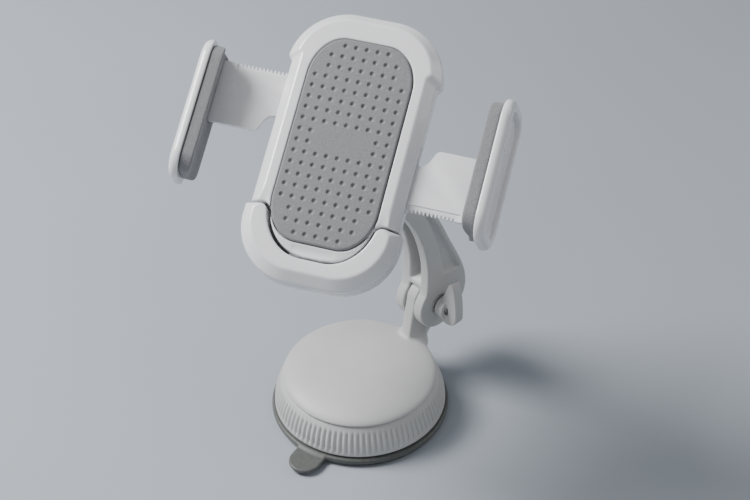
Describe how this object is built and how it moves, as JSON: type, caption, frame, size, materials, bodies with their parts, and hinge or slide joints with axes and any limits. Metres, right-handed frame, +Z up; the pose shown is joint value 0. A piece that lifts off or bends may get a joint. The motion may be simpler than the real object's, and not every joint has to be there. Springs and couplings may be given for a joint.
{
  "type": "car phone mount",
  "caption": "Suction-base phone mount with a twist-lock ring, a hinged arm, a ball joint and a cradle with spring-opened sliding jaws.",
  "frame": {"origin": "centre of the round base, on the surface it stands on", "axes": "+Z up, +Y from the centre of the base towards the hinge lug, +X to the right"},
  "size_m": [0.1241, 0.1163, 0.1712],
  "materials": {
    "gloss_white": "glossy moulded plastic",
    "satin_white": "satin moulded plastic",
    "pad_grey": "fine-grained silicone",
    "cup_grey": "smooth soft rubber",
    "gel": "tacky gel",
    "steel": "plated steel",
    "brass": "turned brass",
    "inner_black": "moulded plastic",
    "acetal": "natural acetal"
  },
  "bodies": {
    "base": {"gel_layer": "gel", "suction_cup": "cup_grey", "base_body": "inner_black", "dome": "satin_white", "dome_screw": "steel", "plunger_spring": "steel"},
    "lock_ring": {"lock_ring": "satin_white"},
    "plunger": {"plunger": "inner_black", "cam_pin": "steel"},
    "arm": {"arm": "satin_white", "hinge_bolt": "steel"},
    "knob": {"hinge_knob": "satin_white", "knob_nut": "brass", "hinge_washer": "steel"},
    "gasket": {"socket_gasket": "inner_black"},
    "nut": {"collar_nut": "satin_white"},
    "cradle": {"rear_cover": "gloss_white", "front_frame": "gloss_white", "grip_pad": "pad_grey", "pinion_screw": "steel", "opening_spring": "steel", "pawl_spring": "steel", "cover_screw_1": "steel", "cover_screw_2": "steel", "cover_screw_3": "steel", "cover_screw_4": "steel"},
    "jaw_left": {"slider_left": "gloss_white", "jaw_shell_left": "gloss_white", "jaw_pad_left": "pad_grey"},
    "jaw_right": {"slider_right": "gloss_white", "jaw_shell_right": "gloss_white", "jaw_pad_right": "pad_grey"},
    "pinion": {"pinion": "acetal"},
    "button": {"release_button": "gloss_white"},
    "pawl": {"pawl": "acetal"}
  },
  "joints": [
    {"name": "lock_ring_turn", "type": "hinge", "parent": "base", "child": "lock_ring", "pos_m": [0, 0, 0.01], "axis": [0, 0, 1], "range_deg": [0, 90]},
    {"name": "plunger_lift", "type": "slide", "parent": "base", "child": "plunger", "axis": [0, 0, 1], "range_m": [0, 0.002], "deforming": ["plunger_spring"]},
    {"name": "arm_tilt", "type": "hinge", "parent": "base", "child": "arm", "pos_m": [0, 0.039, 0.036], "axis": [1, 0, 0], "range_deg": [-60, 40]},
    {"name": "knob_turn", "type": "hinge", "parent": "arm", "child": "knob", "pos_m": [0, 0.039, 0.036], "axis": [1, 0, 0], "range_deg": [-180, 180]},
    {"name": "ball_swing", "type": "hinge", "parent": "arm", "child": "gasket", "pos_m": [0, -0.0002, 0.1252], "axis": [-0.3502, 0.7493, 0.562], "range_deg": [-42, 0]},
    {"name": "ball_lean", "type": "hinge", "parent": "gasket", "child": "nut", "pos_m": [0, -0.0002, 0.1252], "axis": [-0.8708, -0.4815, 0.0994], "range_deg": [-11, 11]},
    {"name": "ball_spin", "type": "hinge", "parent": "nut", "child": "cradle", "pos_m": [0, -0.0002, 0.1252], "axis": [0.3451, -0.4546, 0.8212], "range_deg": [-180, 180]},
    {"name": "jaw_left_slide", "type": "slide", "parent": "cradle", "child": "jaw_left", "axis": [0.8497, 0.5229, -0.0676], "range_m": [0, 0.019]},
    {"name": "jaw_right_slide", "type": "slide", "parent": "cradle", "child": "jaw_right", "axis": [-0.8497, -0.5229, 0.0676], "range_m": [0, 0.019]},
    {"name": "pinion_turn", "type": "hinge", "parent": "cradle", "child": "pinion", "pos_m": [0.00662, -0.00893, 0.14097], "axis": [0.3451, -0.4546, 0.8212], "range_deg": [-259.2, 0]},
    {"name": "button_press", "type": "slide", "parent": "cradle", "child": "button", "axis": [-0.3987, 0.7211, 0.5667], "range_m": [0, 0.001], "stiffness_N_per_m": 900, "springref_m": -0.0008},
    {"name": "pawl_swing", "type": "hinge", "parent": "cradle", "child": "pawl", "pos_m": [0.02229, -0.0249, 0.12554], "axis": [0.3451, -0.4546, 0.8212], "range_deg": [-4.41, 0]}
  ],
  "couplings": [
    {"joint": "plunger_lift", "follows": "lock_ring_turn", "m_per_rad": 0.0012732},
    {"joint": "jaw_right_slide", "follows": "jaw_left_slide", "ratio": 1},
    {"joint": "pinion_turn", "follows": "jaw_left_slide", "rad_per_m": -238.1},
    {"joint": "pawl_swing", "follows": "button_press", "rad_per_m": -76.923}
  ]
}
